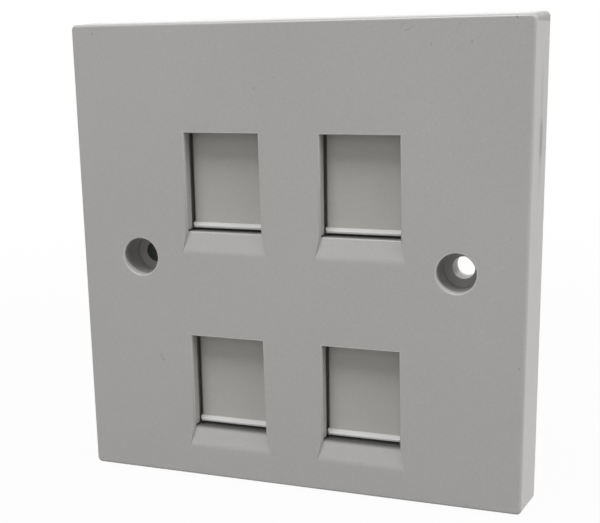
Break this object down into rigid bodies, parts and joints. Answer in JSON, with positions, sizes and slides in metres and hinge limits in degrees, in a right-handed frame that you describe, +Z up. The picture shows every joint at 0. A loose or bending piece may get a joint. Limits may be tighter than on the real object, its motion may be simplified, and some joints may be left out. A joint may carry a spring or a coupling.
{
  "type": "keystone faceplate",
  "caption": "Square single gang wall plate with shuttered keystone jack ports, finger ramps below them, and counterbored fixing holes at its sides.",
  "frame": {"origin": "middle of the wall plane, halfway between the two fixing holes", "axes": "+X to the right seen from the front, +Z up, -Y out of the front face, +Y into the wall"},
  "size_m": [0.086, 0.0152, 0.086],
  "materials": {
    "plate_plastic": "satin moulded, light grey",
    "shutter_plastic": "satin moulded, light grey",
    "frame_plastic": "plain moulded, light grey",
    "spring_steel": "drawn wire",
    "screw_steel": "zinc plated"
  },
  "bodies": {
    "plate": {"faceplate": "plate_plastic", "port_frame_upper": "frame_plastic", "frame_screw_upper_left": "screw_steel", "frame_screw_upper_centre": "screw_steel", "frame_screw_upper_right": "screw_steel", "shutter_spring_upper_left_outer": "spring_steel", "shutter_spring_upper_left_inner": "spring_steel", "shutter_spring_upper_right_outer": "spring_steel", "shutter_spring_upper_right_inner": "spring_steel", "port_frame_lower": "frame_plastic", "frame_screw_lower_left": "screw_steel", "frame_screw_lower_centre": "screw_steel", "frame_screw_lower_right": "screw_steel", "shutter_spring_lower_left_outer": "spring_steel", "shutter_spring_lower_left_inner": "spring_steel", "shutter_spring_lower_right_outer": "spring_steel", "shutter_spring_lower_right_inner": "spring_steel"},
    "shutter_upper_left": {"shutter_upper_left": "shutter_plastic"},
    "shutter_upper_right": {"shutter_upper_right": "shutter_plastic"},
    "shutter_lower_left": {"shutter_lower_left": "shutter_plastic"},
    "shutter_lower_right": {"shutter_lower_right": "shutter_plastic"}
  },
  "joints": [
    {"name": "shutter_upper_left_lift", "type": "slide", "parent": "plate", "child": "shutter_upper_left", "axis": [0, 0, 1], "range_m": [0, 0.013], "stiffness_N_per_m": 30, "springref_m": -0.006, "deforming": ["shutter_spring_upper_left_outer", "shutter_spring_upper_left_inner"]},
    {"name": "shutter_upper_right_lift", "type": "slide", "parent": "plate", "child": "shutter_upper_right", "axis": [0, 0, 1], "range_m": [0, 0.013], "stiffness_N_per_m": 30, "springref_m": -0.006, "deforming": ["shutter_spring_upper_right_outer", "shutter_spring_upper_right_inner"]},
    {"name": "shutter_lower_left_lift", "type": "slide", "parent": "plate", "child": "shutter_lower_left", "axis": [0, 0, 1], "range_m": [0, 0.013], "stiffness_N_per_m": 30, "springref_m": -0.006, "deforming": ["shutter_spring_lower_left_outer", "shutter_spring_lower_left_inner"]},
    {"name": "shutter_lower_right_lift", "type": "slide", "parent": "plate", "child": "shutter_lower_right", "axis": [0, 0, 1], "range_m": [0, 0.013], "stiffness_N_per_m": 30, "springref_m": -0.006, "deforming": ["shutter_spring_lower_right_outer", "shutter_spring_lower_right_inner"]}
  ]
}
